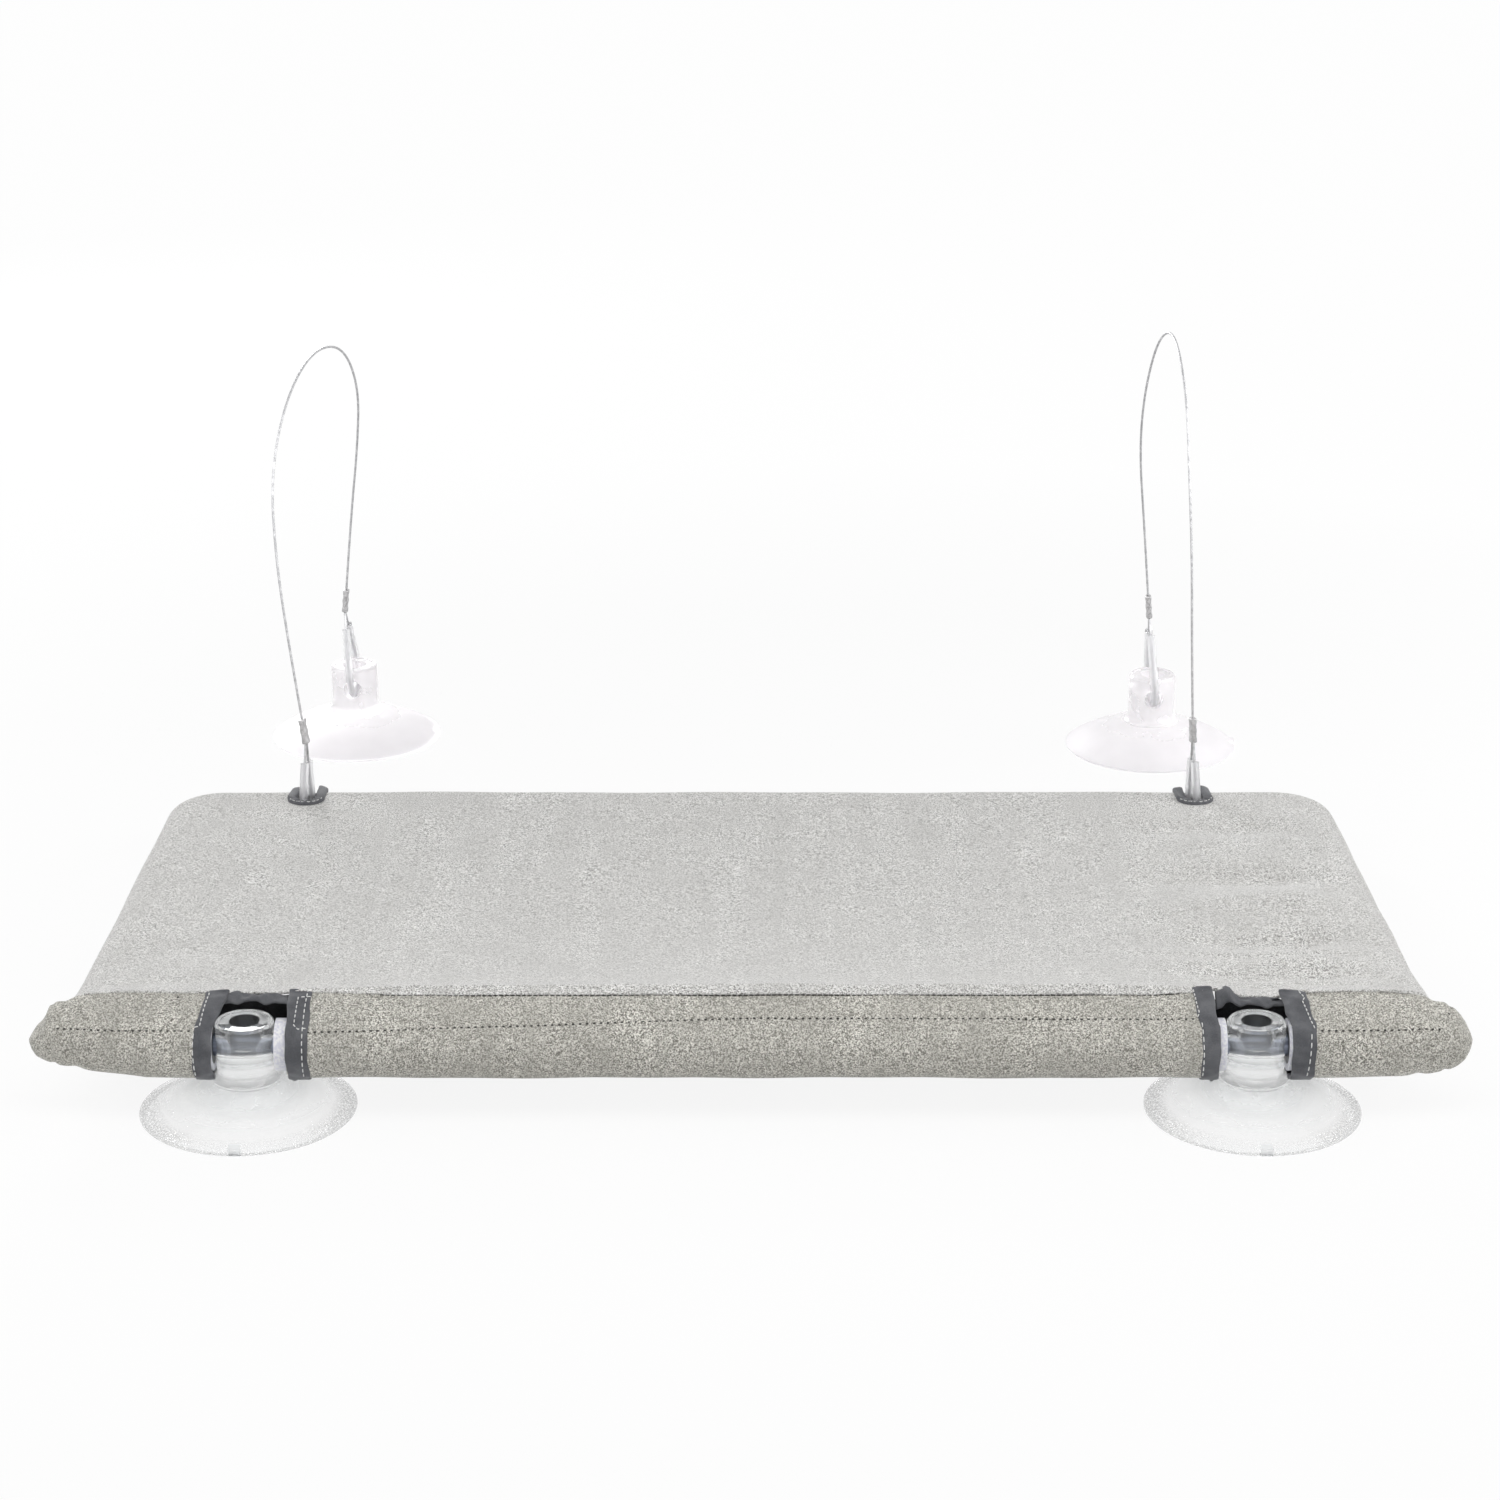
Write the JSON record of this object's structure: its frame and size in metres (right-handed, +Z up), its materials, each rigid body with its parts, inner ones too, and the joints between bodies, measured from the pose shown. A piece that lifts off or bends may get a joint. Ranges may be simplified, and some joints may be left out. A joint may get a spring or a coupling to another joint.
{
  "type": "window mounted cat perch",
  "caption": "Cloth covered tube frame perch with suction cups along its window side and cup ended cables that hold its outer side.",
  "frame": {"origin": "middle of the footprint of the frame and cups at floor level, with the perch laid down as pictured", "axes": "+X along the perch, +Y from the window side to the outer side, +Z up"},
  "size_m": [0.584, 0.545, 0.2374],
  "materials": {
    "panel_cloth": "heathered brushed felt",
    "band_cloth": "heathered brushed felt, darker",
    "binding_tape": "tight woven grey tape",
    "clear_vinyl": "clear soft vinyl",
    "clear_sleeve": "clear soft tube",
    "cable_steel": "fine stranded wire",
    "ferrule_metal": "crimped, dull",
    "rod_steel": "drawn, dark",
    "white_tube": "white pipe",
    "white_fitting": "white moulded",
    "bush_plastic": "black moulded"
  },
  "bodies": {
    "perch": {"elbow_outer_left": "white_fitting", "elbow_outer_right": "white_fitting", "elbow_window_left": "white_fitting", "elbow_window_right": "white_fitting", "notch_binding_left": "binding_tape", "notch_binding_right": "binding_tape", "outer_rod": "rod_steel", "outer_rod_bushes": "bush_plastic", "outer_sleeve": "panel_cloth", "outer_tube_centre": "white_tube", "outer_tube_left": "white_tube", "outer_tube_right": "white_tube", "side_hem_left": "panel_cloth", "side_hem_right": "panel_cloth", "side_tube_left": "white_tube", "side_tube_right": "white_tube", "slot_strip_left": "binding_tape", "slot_strip_right": "binding_tape", "slot_tape_inner_left": "binding_tape", "slot_tape_inner_right": "binding_tape", "slot_tape_outer_left": "binding_tape", "slot_tape_outer_right": "binding_tape", "top_panel": "panel_cloth", "window_rod": "rod_steel", "window_rod_bushes": "bush_plastic", "window_sleeve": "band_cloth", "window_tube_centre": "white_tube", "window_tube_left": "white_tube", "window_tube_right": "white_tube"},
    "lower_cup_left": {"lower_cup_left": "clear_vinyl"},
    "lower_cup_right": {"lower_cup_right": "clear_vinyl"},
    "cable_left": {"cable_left": "cable_steel", "rail_ferrule_left": "ferrule_metal", "rail_eye_wire_left": "cable_steel", "rail_eye_sleeve_left": "clear_sleeve", "cup_ferrule_left": "ferrule_metal", "cup_eye_wire_left": "cable_steel", "cup_eye_sleeve_left": "clear_sleeve"},
    "cable_right": {"cable_right": "cable_steel", "rail_ferrule_right": "ferrule_metal", "rail_eye_wire_right": "cable_steel", "rail_eye_sleeve_right": "clear_sleeve", "cup_ferrule_right": "ferrule_metal", "cup_eye_wire_right": "cable_steel", "cup_eye_sleeve_right": "clear_sleeve"},
    "upper_cup_left": {"upper_cup_left": "clear_vinyl"},
    "upper_cup_right": {"upper_cup_right": "clear_vinyl"}
  },
  "joints": [
    {"name": "lower_cup_left_turn", "type": "hinge", "parent": "perch", "child": "lower_cup_left", "pos_m": [-0.2041, -0.2285, 0.0288], "axis": [1, 0, 0], "range_deg": [-120, 30]},
    {"name": "cable_left_lean", "type": "hinge", "parent": "perch", "child": "cable_left", "pos_m": [-0.2148, 0.067, 0.01215], "axis": [1, 0, 0], "range_deg": [0, 15]},
    {"name": "upper_cup_left_swing", "type": "hinge", "parent": "cable_left", "child": "upper_cup_left", "pos_m": [-0.2084, 0.2285, 0.0288], "axis": [0, 1, 0], "range_deg": [-100, 100]},
    {"name": "lower_cup_right_turn", "type": "hinge", "parent": "perch", "child": "lower_cup_right", "pos_m": [0.2041, -0.2285, 0.0288], "axis": [1, 0, 0], "range_deg": [-120, 30]},
    {"name": "cable_right_lean", "type": "hinge", "parent": "perch", "child": "cable_right", "pos_m": [0.2148, 0.067, 0.01215], "axis": [1, 0, 0], "range_deg": [0, 15]},
    {"name": "upper_cup_right_swing", "type": "hinge", "parent": "cable_right", "child": "upper_cup_right", "pos_m": [0.2097, 0.2122, 0.0288], "axis": [0, 1, 0], "range_deg": [-100, 100]}
  ]
}
